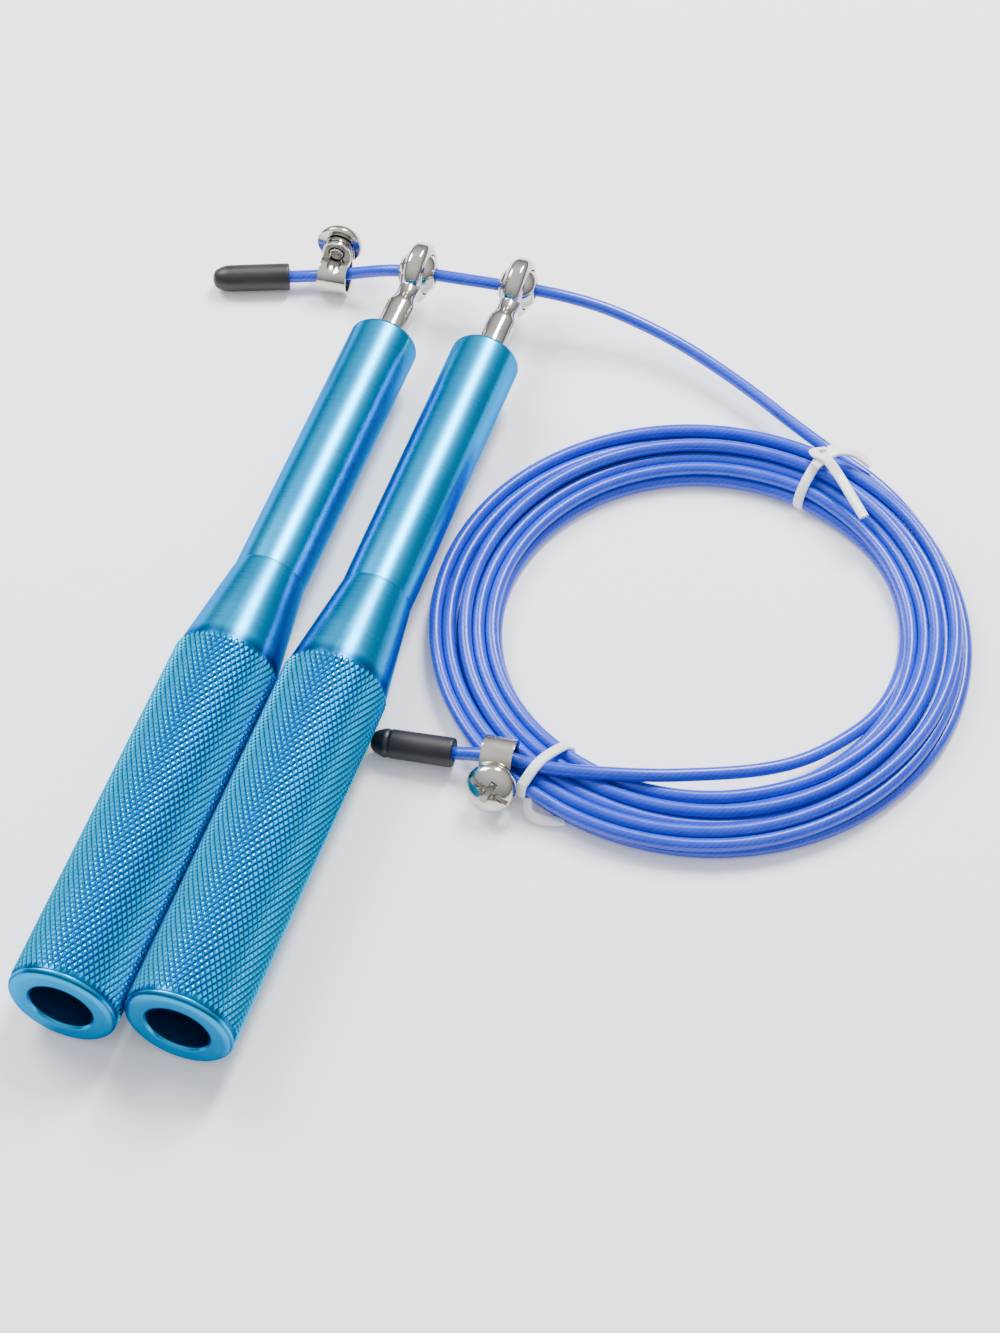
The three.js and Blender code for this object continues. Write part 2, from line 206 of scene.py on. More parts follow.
def evenly(points, spacing):
    """Points a fixed distance apart along a line through the given ones."""
    lengths = np.concatenate([[0], np.cumsum(np.linalg.norm(np.diff(points, axis=0), axis=1))])
    count = max(2, int(round(lengths[-1] / spacing)) + 1)
    at = np.linspace(0, lengths[-1], count)
    return np.column_stack([np.interp(at, lengths, points[:, k]) for k in range(3)])


def normalised(v):
    """Unit vectors along the last axis."""
    return v / np.linalg.norm(v, axis=-1, keepdims=True)


def soften(values, passes):
    """Moves each value towards the middle of its neighbours, in place, with the ends held."""
    for _ in range(passes):
        values[1:-1] = 0.25 * values[:-2] + 0.5 * values[1:-1] + 0.25 * values[2:]


def carried_frames(path):
    """Tangent, side and up at each point of a path, carried along it without twist."""
    tangents = normalised(np.gradient(path, axis=0))
    up = np.array([0, 0, 1.0])
    ups = []
    for t in tangents:
        up = up - t * (up @ t)
        up /= np.linalg.norm(up)
        ups.append(up)
    ups = np.array(ups)
    return tangents, np.cross(ups, tangents), ups


def sweep(path, section, ups=None):
    """A closed sweep of a 2-D section along a path, with its length in mm and its turn as UVs."""
    tangents, sides, carried = carried_frames(path)
    if ups is not None:
        carried = ups - tangents * np.sum(ups * tangents, axis=1, keepdims=True)
        carried = normalised(carried)
        sides = np.cross(carried, tangents)
    count = len(section)
    vertices, faces, uvs = [], [], []
    for point, side, up in zip(path, sides, carried):
        for x, y in section:
            vertices.append(point + (side * x + up * y))
    along = np.concatenate([[0], np.cumsum(np.linalg.norm(np.diff(path, axis=0), axis=1))])
    for i in range(len(path) - 1):
        for j in range(count):
            k = (j + 1) % count
            faces.append([i * count + j, i * count + k, (i + 1) * count + k, (i + 1) * count + j])
            turn = (j / count, (j + 1) / count)
            uvs += [(along[i], turn[0]), (along[i], turn[1])]
            uvs += [(along[i + 1], turn[1]), (along[i + 1], turn[0])]
    for ring, flip in ((0, True), (len(path) - 1, False)):
        face = [ring * count + j for j in range(count)]
        faces.append(face[::-1] if flip else face)
        uvs += [(along[ring], 0.5)] * count
    return vertices, faces, uvs


def round_section(radius, sides):
    """A circle's points for sweep."""
    angles = 2 * np.pi * np.arange(sides) / sides
    return np.column_stack([radius * np.cos(angles), radius * np.sin(angles)])


def merged(*parts):
    """Several (vertices, faces) lists as one."""
    vertices, faces = [], []
    for more_vertices, more_faces in parts:
        base = len(vertices)
        vertices += list(more_vertices)
        faces += [[base + v for v in face] for face in more_faces]
    return vertices, faces


def weld(target):
    """Joins points that coincide and turns every face outwards."""
    shell = bmesh.new()
    shell.from_mesh(target.data)
    bmesh.ops.remove_doubles(shell, verts=shell.verts, dist=WELD_DISTANCE * MM)
    bmesh.ops.recalc_face_normals(shell, faces=shell.faces)
    shell.to_mesh(target.data)
    shell.free()


def bake_modifiers(target):
    """The modifiers' result becomes the object's own mesh."""
    graph = bpy.context.evaluated_depsgraph_get()
    mesh = bpy.data.meshes.new_from_object(target.evaluated_get(graph))
    target.modifiers.clear()
    target.data = mesh
    return target


def boolean(target, tool, operation):
    """Joins a tool to an object or cuts it away, and removes the tool."""
    cut = target.modifiers.new("cut", "BOOLEAN")
    cut.use_self = True
    cut.object = tool
    cut.operation = operation
    cut.solver = "EXACT"
    bpy.context.view_layer.update()
    bake_modifiers(target)
    bpy.data.objects.remove(tool)
    return target


def finish_edges(target, width, segments, degrees):
    """Rounds the edges that are sharper than an angle, by a width in millimetres."""
    bevel = target.modifiers.new("bevel", "BEVEL")
    bevel.width = width * MM
    bevel.segments = segments
    bevel.limit_method = "ANGLE"
    bevel.angle_limit = math.radians(degrees)
    bake_modifiers(target)
    mesh = target.data
    mesh.polygons.foreach_set("use_smooth", [True] * len(mesh.polygons))
    mesh.set_sharp_from_angle(angle=math.radians(45))
    return target


def place(target, x_axis, y_axis, origin):
    """Puts an object's own axes along the given ones, with its origin in millimetres."""
    x_axis, y_axis = normalised(np.array(x_axis, float)), normalised(np.array(y_axis, float))
    z_axis = np.cross(x_axis, y_axis)
    matrix = Matrix.Identity(4)
    for i in range(3):
        matrix[i][0], matrix[i][1], matrix[i][2] = x_axis[i], y_axis[i], z_axis[i]
        matrix[i][3] = origin[i] * MM
    target.matrix_world = matrix
    return target


# Rope: the loose stretches point by point, and the coil by a loop that settles its turns on each other
FIRST_END = [
    (-41.5, 82.15, 2.93),
    (-36.7, 83.9, 2.97),
    (-32.6, 85.2, 3.25),
    (-28, 86.05, 4.2),
    (-23, 86.35, 6.15),
    (-18.8, 86.3, 8.1),
    BALLS["left"] - 4.2 * THROUGH_BALLS - (0, 0, 0.4),
    BALLS["left"],
    BALLS["left"] + 5 * THROUGH_BALLS,
    BALLS["right"] - 5 * THROUGH_BALLS,
    BALLS["right"],
    BALLS["right"] + 4.4 * THROUGH_BALLS,
    (20, 90.2, 9.6),
    (27.5, 90.7, 8.5),
    (35.2, 90.3, 7.1),
    (43.9, 88.6, 5.9),
    (53.1, 85.4, 5),
    (62.5, 81, 4.6),
    (70.5, 76.6, 4.5),
]
SECOND_END = [
    (45.6, -19.3, 6.7),
    (42.7, -19.6, 6.75),
    (38, -19.7, 5.6),
    (34.4, -19.6, 4.2),
    (29.8, -19.98, 3.76),
]
TURNS = 10
FIRST_ANGLE = 78.0
LAST_ANGLE = -117.05
SLICES = 96  # of each turn
# Where each turn lies across the coil (0 inside, 1 outside), how far it wanders, and towards which angle
TURN_PLACES = [0.9, 0.30, 0.97, 0.12, 0.85, 0.02, 0.62, 0.95, 0.10, 0.35, 0.04, 0.04]
TURN_WANDERS = [0.12, 0.50, 0.20, 0.50, 0.55, 0.15, 0.60, 0.30, 0.40, 0.30, 0.08, 0.05]
TURN_LEANS = [60, 160, 330, 20, 190, 180, 150, 200, 220, 200, 180, 180]
# The hole in the middle: its radius by the angle about the coil's centre
HOLE = [
    (0, 36.3), (20, 37.2), (40, 38.0), (60, 37.5), (80, 35.1), (100, 32.5), (120, 31.1), (140, 30.5),
    (160, 31.3), (180, 33.3), (200, 35.5), (220, 37.0), (240, 37.1), (260, 35.3), (280, 33.0),
    (300, 33.1), (320, 34.3), (340, 35.2), (360, 36.3),
]
# Where the rope comes in over the outer turns, and where it goes out over all of them: angle, radius, height
WAY_IN = [(78, 50.5, 4.4), (70, 49.6, 4.1), (60, 49.2, 3.2), (48, 49.4, 1.6)]
WAY_OUT = [
    (-22, 35.9, 3.2), (-42.6, 35.0, 3.6), (-60, 34.2, 4.6), (-74, 34.8, 5.9),
    (-90, 37.6, 6.9), (-101, 40.6, 7.0), (-109, 44.2, 6.9), (-117.05, 47.3, 6.6),
]


STACK_STEP = 0.55  # how much higher each turn starts than the one before
TIE_LIFT = 2 * TIE_HALF_THICKNESS + 0.5  # how far the turns stay off the floor over a tie
TIE_LIFT_DEGREES = 4.5
PASSES = 1500
LAST_PASSES = 60  # the passes at the end with little stiffness
SINK_FAST = 0.03
SINK_SLOW = 0.004
REACHES = (6, 3, 1)  # how many slices apart the smoothing looks


def settled_coil():
    """Angle, radius and height along the coil. Each pass lets the rope sink, keeps it smooth, holds its two
    ways out and pushes turns apart that are nearer than a diameter."""
    total = FIRST_ANGLE - LAST_ANGLE + 360 * TURNS
    count = int(round(total / 360 * SLICES))
    degrees = FIRST_ANGLE - total / count * np.arange(count + 1)
    turn = np.arange(count + 1) / SLICES
    whole = np.floor(turn).astype(int)
    ease = (turn - whole) ** 2 * (3 - 2 * (turn - whole))

    def by_turn(values):
        """A table's values along the coil, eased from turn to turn."""
        values = np.array(values, float)
        return values[whole] * (1 - ease) + values[whole + 1] * ease

    angles, radii = np.array(HOLE, float).T
    inside = np.interp(degrees % 360, angles, radii) + ROPE_R
    outside = COIL_OUTER_R - ROPE_R
    lean = np.cos(np.radians(degrees - by_turn(TURN_LEANS)))
    across = np.clip(by_turn(TURN_PLACES) + by_turn(TURN_WANDERS) * lean, 0, 1)
    radius = inside + across * (outside - inside)
    height = ROPE_R + STACK_STEP * turn
    floor = np.full(count + 1, ROPE_R + 0.02)
    for angle in TIE_ANGLES.values():
        away = (degrees - angle + 180) % 360 - 180
        floor += TIE_LIFT * np.exp(-((away / TIE_LIFT_DEGREES) ** 2))
    held = np.zeros(count + 1)
    held_radius, held_height = radius.copy(), height.copy()
    for table, lap in ((WAY_IN, 0), (WAY_OUT, TURNS)):
        angle, its_radius, its_height = np.array(table, float).T
        angle = angle - 360 * lap
        near = (degrees <= angle.max() + 1e-6) & (degrees >= angle.min() - 1e-6)
        held_radius[near] = np.interp(-degrees[near], -angle, its_radius)
        held_height[near] = np.interp(-degrees[near], -angle, its_height)
        held[near] = 1
    radius = np.where(held > 0, held_radius, radius)
    height = np.where(held > 0, held_height, height)
    soften(radius, 60)
    soften(height, 60)
    low = np.where(held > 0, 0, inside)
    high = np.where(held > 0, 60, outside)
    for step in range(PASSES):
        done = step / PASSES
        height -= SINK_FAST * (1 - done) ** 0.5 + SINK_SLOW
        stiffness = 0.6 * (1 - done) + 0.25 * done
        if step >= PASSES - LAST_PASSES:
            stiffness = 0.1
        for reach in REACHES:
            for values, share in ((radius, 0.35), (height, 0.6)):
                share = stiffness * (1 if reach == 1 else share)
                middle = 0.5 * (values[: -2 * reach] + values[2 * reach :])
                values[reach:-reach] += share * (middle - values[reach:-reach])
        hold = held * (0.5 if done < 0.8 else 0.3)
        radius += hold * (held_radius - radius)
        height += hold * (held_height - height)
        for _ in range(3):
            push_radius, push_height = np.zeros(count + 1), np.zeros(count + 1)
            touching = np.zeros(count + 1)
            for lap in range(1, TURNS + 1):
                a, b = slice(0, count + 1 - lap * SLICES), slice(lap * SLICES, count + 1)
                across, up = radius[b] - radius[a], height[b] - height[a]
                apart = np.hypot(across, up) + 1e-9
                overlap = np.maximum(0, ROPE_D * 1.01 - apart) / 2
                across, up = overlap * across / apart, overlap * up / apart
                push_radius[a] -= across
                push_height[a] -= up
                push_radius[b] += across
                push_height[b] += up
                touching[a] += overlap > 0
                touching[b] += overlap > 0
            share = 0.9 / np.maximum(touching, 1) ** 0.6
            radius = np.clip(radius + push_radius * share, low, high)
            height = np.maximum(height + push_height * share, floor)
    soften(radius, 4)
    soften(height, 4)
    return degrees, radius, height


coil_degrees, coil_radius, coil_height = settled_coil()
coil_points = np.column_stack(
    [
        COIL_X + coil_radius * np.cos(np.radians(coil_degrees)),
        COIL_Y + coil_radius * np.sin(np.radians(coil_degrees)),
        coil_height,
    ]
)
rope_path = smooth_route([*FIRST_END, *coil_points[1:], *SECOND_END], ROPE_SPACING)
rope = make_object("rope", *sweep(rope_path, round_section(ROPE_R, ROPE_SIDES)))


# Materials
def links_of(material):
    """A material's nodes, its links and its shader."""
    material.use_nodes = True
    tree = material.node_tree
    return tree.nodes, tree.links, tree.nodes["Principled BSDF"]


def math_node(nodes, links, operation, first, second=None):
    """The result of a sum on one or two values, each a number or an output."""
    node = nodes.new("ShaderNodeMath")
    node.operation = operation
    for socket, value in zip(node.inputs, (first, second)):
        if value is None:
            continue
        if isinstance(value, (int, float)):
            socket.default_value = value
        else:
            links.new(value, socket)
    return node.outputs[0]


def noise_node(nodes, links, vector, scale, detail, roughness=0.5):
    """Noise from 0 to 1."""
    node = nodes.new("ShaderNodeTexNoise")
    node.inputs["Scale"].default_value = scale
    node.inputs["Detail"].default_value = detail
    node.inputs["Roughness"].default_value = roughness
    links.new(vector, node.inputs["Vector"])
    return node.outputs["Fac"]


def ramp_node(nodes, links, value, stops):
    """A colour that follows a value through (position, colour) stops."""
    node = nodes.new("ShaderNodeValToRGB")
    elements = node.color_ramp.elements
    while len(elements) < len(stops):
        elements.new(0.5)
    for element, (position, colour) in zip(elements, stops):
        element.position = position
        element.color = (*colour, 1)
    links.new(value, node.inputs["Fac"])
    return node.outputs["Color"]


def range_node(nodes, links, value, from_low, from_high, to_low, to_high):
    """A value stretched from one range to another."""
    node = nodes.new("ShaderNodeMapRange")
    for name, number in (
        ("From Min", from_low), ("From Max", from_high), ("To Min", to_low), ("To Max", to_high),
    ):
        node.inputs[name].default_value = number
    links.new(value, node.inputs["Value"])
    return node.outputs["Result"]


def bump_node(nodes, links, height, strength, distance, shader):
    """Relief from a height, into the shader's normal."""
    node = nodes.new("ShaderNodeBump")
    node.inputs["Strength"].default_value = strength
    node.inputs["Distance"].default_value = distance
    links.new(height, node.inputs["Height"])
    links.new(node.outputs["Normal"], shader.inputs["Normal"])


def stretched(nodes, links, output, scale):
    """Coordinates with a scale for each axis."""
    mapping = nodes.new("ShaderNodeMapping")
    mapping.inputs["Scale"].default_value = scale
    links.new(output, mapping.inputs["Vector"])
    return mapping.outputs["Vector"]


def anodised_material():
    """Dyed satin aluminium: fine turning lines round the axis, and painted shade in the knurl grooves with a
    painted highlight on the tips.
    """
    material = bpy.data.materials.new("anodised_blue")
    nodes, links, shader = links_of(material)
    shader.inputs["Metallic"].default_value = 1
    shader.inputs["Anisotropic"].default_value = 0.25
    shader.inputs["Specular Tint"].default_value = (0.03, 0.42, 0.78, 1)
    place_in = nodes.new("ShaderNodeTexCoord").outputs["Object"]
    lines = noise_node(nodes, links, stretched(nodes, links, place_in, (40, 9000, 40)), 1.0, 3.0, 0.6)
    clouds = noise_node(nodes, links, place_in, 60.0, 3.0)
    split = nodes.new("ShaderNodeSeparateXYZ")
    links.new(place_in, split.inputs[0])
    across = math_node(nodes, links, "POWER", split.outputs["X"], 2.0)
    upward = math_node(nodes, links, "POWER", split.outputs["Z"], 2.0)
    distance = math_node(nodes, links, "SQRT", math_node(nodes, links, "ADD", across, upward))
    # How far a knurl surface lies from the axis, from 0 in the grooves to 1 on the tips; it drives the
    # painted shade and highlight below.
    tip = range_node(nodes, links, distance, 0.00962, 0.00999, 0.0, 1.0)
    on_grip = range_node(nodes, links, distance, 0.0094, 0.0096, 0.0, 1.0)
    smooth_colour = ramp_node(
        nodes, links, clouds, [(0.3, (0.0005, 0.27, 0.56)), (0.7, (0.001, 0.33, 0.63))]
    )
    # Painted shade darkens the knurl grooves and a painted highlight lightens the tips.
    knurl_painted_shading = ramp_node(
        nodes,
        links,
        tip,
        [(0.0, (0.0004, 0.11, 0.30)), (0.5, (0.0006, 0.35, 0.64)), (1.0, (0.001, 0.54, 0.86))],
    )
    mix = nodes.new("ShaderNodeMix")
    mix.data_type = "RGBA"
    links.new(on_grip, mix.inputs["Factor"])
    links.new(smooth_colour, mix.inputs["A"])
    links.new(knurl_painted_shading, mix.inputs["B"])
    links.new(mix.outputs["Result"], shader.inputs["Base Color"])
    links.new(range_node(nodes, links, lines, 0.3, 0.7, 0.26, 0.34), shader.inputs["Roughness"])
    bump_node(nodes, links, lines, 0.12, 0.00003, shader)
    return material


def metal_material(name, colours, roughness, scratch, grain=900.0):
    """Metal with faint scratches and cloudy polish."""
    material = bpy.data.materials.new(name)
    nodes, links, shader = links_of(material)
    shader.inputs["Metallic"].default_value = 1
    place_in = nodes.new("ShaderNodeTexCoord").outputs["Object"]
    clouds = noise_node(nodes, links, place_in, 250.0, 4.0)
    fine = noise_node(nodes, links, stretched(nodes, links, place_in, (1, 3, 6)), grain, 4.0, 0.7)
    colour = ramp_node(nodes, links, clouds, [(0.3, colours[0]), (0.7, colours[1])])
    links.new(colour, shader.inputs["Base Color"])
    links.new(range_node(nodes, links, clouds, 0.3, 0.7, *roughness), shader.inputs["Roughness"])
    bump_node(nodes, links, fine, scratch, 0.00002, shader)
    return material


def sheath_material():
    """Clear blue sheath over twisted strands: slanted bands along the rope under a glossy coat."""
    material = bpy.data.materials.new("rope_sheath")
    nodes, links, shader = links_of(material)
    uv = nodes.new("ShaderNodeTexCoord").outputs["UV"]
    split = nodes.new("ShaderNodeSeparateXYZ")
    links.new(uv, split.inputs[0])
    along = math_node(nodes, links, "DIVIDE", split.outputs["X"], 9.0)
    helix = math_node(nodes, links, "ADD", along, split.outputs["Y"])
    strands = math_node(nodes, links, "MULTIPLY", helix, 7.0)
    wave = math_node(nodes, links, "SINE", math_node(nodes, links, "MULTIPLY", strands, 2 * math.pi))
    wires = math_node(nodes, links, "MULTIPLY", strands, 5.0)
    fine = math_node(nodes, links, "SINE", math_node(nodes, links, "MULTIPLY", wires, 2 * math.pi))
    both = math_node(nodes, links, "ADD", wave, math_node(nodes, links, "MULTIPLY", fine, 0.35))
    shade = range_node(nodes, links, both, -1.35, 1.35, 0.0, 1.0)
    clouds = noise_node(nodes, links, stretched(nodes, links, uv, (0.08, 1.0, 1.0)), 3.0, 3.0)
    striped = math_node(nodes, links, "MULTIPLY", shade, 0.36)
    cloudy = math_node(nodes, links, "MULTIPLY", clouds, 0.6)
    mixed = math_node(nodes, links, "ADD", striped, cloudy)
    colour = ramp_node(
        nodes,
        links,
        mixed,
        [(0.15, (0.005, 0.032, 0.46)), (0.55, (0.009, 0.050, 0.58)), (0.95, (0.022, 0.09, 0.72))],
    )
    links.new(colour, shader.inputs["Base Color"])
    links.new(range_node(nodes, links, clouds, 0.3, 0.7, 0.26, 0.40), shader.inputs["Roughness"])
    shader.inputs["Subsurface Weight"].default_value = 0.15
    shader.inputs["Subsurface Radius"].default_value = (0.0004, 0.0006, 0.0016)
    shader.inputs["Subsurface Scale"].default_value = 0.5
    shader.inputs["Coat Weight"].default_value = 0.3
    shader.inputs["Specular IOR Level"].default_value = 0.4
    shader.inputs["Coat Roughness"].default_value = 0.14
    bump_node(nodes, links, shade, 0.07, 0.00004, shader)
    return material


def plastic_material(name, colours, roughness, grain, strength, coat=0.0, subsurface=0.0):
    """Plastic with slight clouds in its colour and gloss, and a fine grain."""
    material = bpy.data.materials.new(name)
    nodes, links, shader = links_of(material)
    place_in = nodes.new("ShaderNodeTexCoord").outputs["Object"]
    clouds = noise_node(nodes, links, place_in, 180.0, 4.0, 0.6)
    fine = noise_node(nodes, links, place_in, grain, 4.0, 0.6)
    colour = ramp_node(nodes, links, clouds, [(0.3, colours[0]), (0.7, colours[1])])
    links.new(colour, shader.inputs["Base Color"])
    links.new(range_node(nodes, links, clouds, 0.3, 0.7, *roughness), shader.inputs["Roughness"])
    shader.inputs["Coat Weight"].default_value = coat
    shader.inputs["Subsurface Weight"].default_value = subsurface
    shader.inputs["Subsurface Radius"].default_value = (0.0012, 0.0011, 0.001)
    shader.inputs["Subsurface Scale"].default_value = 0.6
    bump_node(nodes, links, fine, strength, 0.00004, shader)
    return material


ANODISED = anodised_material()
NICKEL = metal_material("nickel", ((0.48, 0.455, 0.415), (0.60, 0.575, 0.53)), (0.09, 0.16), 0.05)
BEARING_STEEL = metal_material("bearing_steel", ((0.5, 0.51, 0.53), (0.62, 0.63, 0.65)), (0.16, 0.26), 0.08)
ZINC = metal_material("zinc_steel", ((0.5, 0.5, 0.5), (0.66, 0.66, 0.66)), (0.25, 0.4), 0.12)
BRASS = metal_material("cage_brass", ((0.6, 0.42, 0.15), (0.75, 0.55, 0.24)), (0.22, 0.34), 0.1)
SHEATH = sheath_material()
BLACKS = ((0.004, 0.004, 0.005), (0.010, 0.010, 0.011))
WHITES = ((0.80, 0.81, 0.83), (0.88, 0.89, 0.90))
VINYL = plastic_material("black_vinyl", BLACKS, (0.4, 0.52), 1500.0, 0.22)
WHITE = plastic_material("white_sheath", WHITES, (0.34, 0.46), 700.0, 0.12, 0.2, 0.25)


def dress(target, material, body, slot_name, *nodes):
    """Gives a piece its material and its body and hides the CAD nodes that it stands for; the slot name is
    not used.
    """
    target.data.materials.clear()
    target.data.materials.append(material)
    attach(target, body)
    if nodes:
        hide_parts(*nodes)
    return target


dress(rope, SHEATH, "rope", "rope_sheath", "rope_end_a", "rope_end_b", "rope_coil")


# Handles, rod ends and swivel balls
def grid_at(grid, column, row):
    """A point of the knurl's grid, counted on round the grip."""
    return grid[column % COLUMNS, row]


def knurl_band(start, end):
    """Diamond knurling: flat-topped pyramids between two crossing sets of grooves."""
    rows = int(round((end - start) / (KNURL_PITCH / 2)))
    step = (end - start) / rows
    groove = GRIP_R - KNURL_DEPTH
    vertices, faces = [], []

    def point(column, row, radius):
        angle = 2 * math.pi * column / COLUMNS
        vertices.append((radius * math.cos(angle), start + row * step, -radius * math.sin(angle)))
        return len(vertices) - 1

    grid = {}
    for row in range(rows + 1):
        for column in range(COLUMNS):
            if (column + row) % 2 == 0 or row in (0, rows):
                grid[column, row] = point(column, row, groove)
    for row in range(rows + 1):
        for column in range(COLUMNS):
            if (column + row) % 2 == 0:
                continue
            left, right = grid_at(grid, column - 1, row), grid_at(grid, column + 1, row)
            if row in (0, rows):
                apex = grid_at(grid, column, row + (1 if row == 0 else -1))
                middle = grid[column, row]
                if row == 0:
                    faces += [[left, middle, apex], [middle, right, apex]]
                else:
                    faces += [[middle, left, apex], [right, middle, apex]]
                continue
            around = [right, grid_at(grid, column, row + 1), left, grid_at(grid, column, row - 1)]
            tops = [
                point(column + x * KNURL_TOP, row + y * KNURL_TOP, GRIP_R)
                for x, y in ((1, 0), (0, 1), (-1, 0), (0, -1))
            ]
            for i in range(4):
                j = (i + 1) % 4
                faces.append([around[i], around[j], tops[j], tops[i]])
            faces.append(tops)
    return vertices, faces


def handle(side):
    """Tail, knurled grip, cone and neck as one bored piece, from its open tail along Y."""
    inside = [
        (SHANK_R + 0.4, HANDLE_LENGTH - 0.2, 0),
        (SHANK_R + 0.4, HANDLE_LENGTH - HEAD_WALL, 0.1),
        (BORE_R, HANDLE_LENGTH - HEAD_WALL, 0.2),
        (BORE_R, 0.5, 0.15),
        (BORE_R + 0.35, 0, 0.12),
        (FACE_R, 0, 0.5),
        (9.5, 0.3, 0.4),
        (COLLAR_R, 0.85, 0.4),
        (COLLAR_R, COLLAR_LENGTH - 0.3, 0.05),
        (GRIP_R - KNURL_DEPTH - 0.1, COLLAR_LENGTH - 0.15, 0.05),
        (GRIP_R - KNURL_DEPTH, COLLAR_LENGTH + 0.1, 0),
    ]
    outside = [
        (GRIP_R - KNURL_DEPTH, GRIP_END, 0),
        (GRIP_R - KNURL_DEPTH - 0.08, GRIP_END + 0.9, 0.6),
        (NECK_R + 0.12, CONE_END - 0.5, 0.3),
        (NECK_R + 0.04, CONE_END, 0.08),
        (NECK_R, CONE_END + 0.15, 0.08),
        (NECK_R, HANDLE_LENGTH - 0.7, 0.45),
        (NECK_R - 0.7, HANDLE_LENGTH, 0.4),
        (SHANK_R + 0.65, HANDLE_LENGTH, 0.1),
        (SHANK_R + 0.4, HANDLE_LENGTH - 0.2, 0),
    ]
    made = make_object(
        "handle_" + side + "_body",
        *merged(
            revolve(filleted(inside, 5), COLUMNS),
            knurl_band(COLLAR_LENGTH + 0.1, GRIP_END),
            revolve(filleted(outside, 5), COLUMNS),
        ),
        sharp_degrees=25,
    )
    weld(made)
    place(made, (1, 0, 0), ALONG_Y, (BALLS[side][0], TAILS[side], GRIP_R))
    return dress(made, ANODISED, side + "_handle", "anodised_blue", "handle_" + side)


def rod_end(side):
    """Journal, shank, waisted neck and the eye round the swivel ball."""
    shank = [
        (0, ROD_TAIL + SCREW_HOLE_DEPTH, 0),
        (SCREW_HOLE_R, ROD_TAIL + SCREW_HOLE_DEPTH, 0.1),
        (SCREW_HOLE_R, ROD_TAIL, 0.1),
        (JOURNAL_R, ROD_TAIL, 0.2),
        (JOURNAL_R, HANDLE_LENGTH - HEAD_WALL, 0.05),
        (SHANK_R, HANDLE_LENGTH - HEAD_WALL, 0.15),
        (SHANK_R, BALL_CENTRE - 10.4, 0.6),
        (SHANK_R - 0.75, BALL_CENTRE - 8.0, 0.8),
        (SHANK_R - 0.85, BALL_CENTRE - 6.4, 0.5),
        (SHANK_R - 0.75, BALL_CENTRE - 5.05, 0),
        (0, BALL_CENTRE - 5.05, 0),
    ]
    made = make_object("rod_end_" + side + "_metal", *revolve(filleted(shank, 6), 64))
    weld(made)
    half = EYE_HALF_WIDTH
    seat = [
        (math.sqrt(EYE_SOCKET_R**2 - (t * half) ** 2), t * half, 0)
        for t in np.linspace(1, -1, 13)
    ]
    ring = [
        *seat,
        (EYE_R - 1.0, -half, 0.1),
        (EYE_R, -half + 0.85, 0.9),
        (EYE_R + 0.04, 0, 0.7),
        (EYE_R, half - 0.85, 0.9),
        (EYE_R - 1.0, half, 0.1),
    ]
    ring = make_object("eye", *revolve(filleted(ring, 6), 96, closed=True))
    weld(ring)
    place(ring, (0, -1, 0), (1, 0, 0), (0, BALL_CENTRE, 0))
    bpy.context.view_layer.update()
    boolean(made, ring, "UNION")
    finish_edges(made, 0.08, 2, 50)
    place(made, (1, 0, 0), ALONG_Y, (BALLS[side][0], TAILS[side], GRIP_R))
    return dress(made, NICKEL, side + "_rod", "nickel", "rod_end_" + side)


def swivel_ball(side):
    """A bored ball with two flats, its bore towards the other handle's ball."""
    rim = math.degrees(math.asin(BALL_HALF_WIDTH / BALL_R))
    arc = [
        (BALL_R * math.cos(math.radians(a)), BALL_R * math.sin(math.radians(a)), 0)
        for a in np.linspace(-rim, rim, 25)
    ]
    profile = [
        (BALL_BORE_R, -BALL_HALF_WIDTH + 0.35, 0.1),
        (BALL_BORE_R + 0.3, -BALL_HALF_WIDTH, 0.1),
        *arc,
        (BALL_BORE_R + 0.3, BALL_HALF_WIDTH, 0.1),
        (BALL_BORE_R, BALL_HALF_WIDTH - 0.35, 0.1),
    ]
    made = make_object("swivel_ball_" + side + "_metal", *revolve(filleted(profile), 64, closed=True))
    weld(made)
    finish_edges(made, 0.12, 3, 30)
    place(made, np.cross(THROUGH_BALLS, (0, 0, 1)), THROUGH_BALLS, BALLS[side])
    return dress(made, NICKEL, side + "_ball", "nickel", "swivel_ball_" + side)


for side in TAILS:
    handle(side)
    rod_end(side)
    swivel_ball(side)


# End caps
def end_cap(label, mouth, tip, crease):
    """A dipped vinyl cap with an open mouth round the rope and a domed end."""
    corners = [
        (0, 5, 0),
        (ROPE_R + 0.1, 5, 0.3),
        (ROPE_R + 0.1, 0.25, 0.1),
        (ROPE_R + 0.3, 0, 0.1),
        (CAP_R - 0.12, 0, 0.15),
        (CAP_R, 0.35, 0.2),
        (CAP_R - 0.03, CAP_LENGTH * 0.5, 1.5),
    ]
    if crease:
        corners += [
            (CAP_R - 0.02, CAP_LENGTH - 3.9, 0.3),
            (CAP_R - 0.22, CAP_LENGTH - 3.5, 0.25),
            (CAP_R - 0.04, CAP_LENGTH - 3.1, 0.3),
        ]
    corners += [
        (CAP_R - 0.06, CAP_LENGTH - 2.5, 1.2),
        (CAP_R - 0.9, CAP_LENGTH - 0.5, 1.2),
        (CAP_R - 1.9, CAP_LENGTH - 0.02, 0.8),
        (0, CAP_LENGTH, 0),
    ]
    made = make_object("end_cap_" + label + "_vinyl", *revolve(filleted(corners, 6), 48))
    weld(made)
    axis = normalised(np.array(tip, float) - np.array(mouth, float))
    place(made, np.cross(axis, (0, 0, 1)), axis, mouth)
    return dress(made, VINYL, "rope", "black_vinyl", "end_cap_" + label)


caps = [
    end_cap("a", (-37, 83.8, 2.95), (-51.5, 78.4, 2.85), False),
    end_cap("b", (34, -19.6, 4.1), (18.7, -20.9, 2.9), True),
]


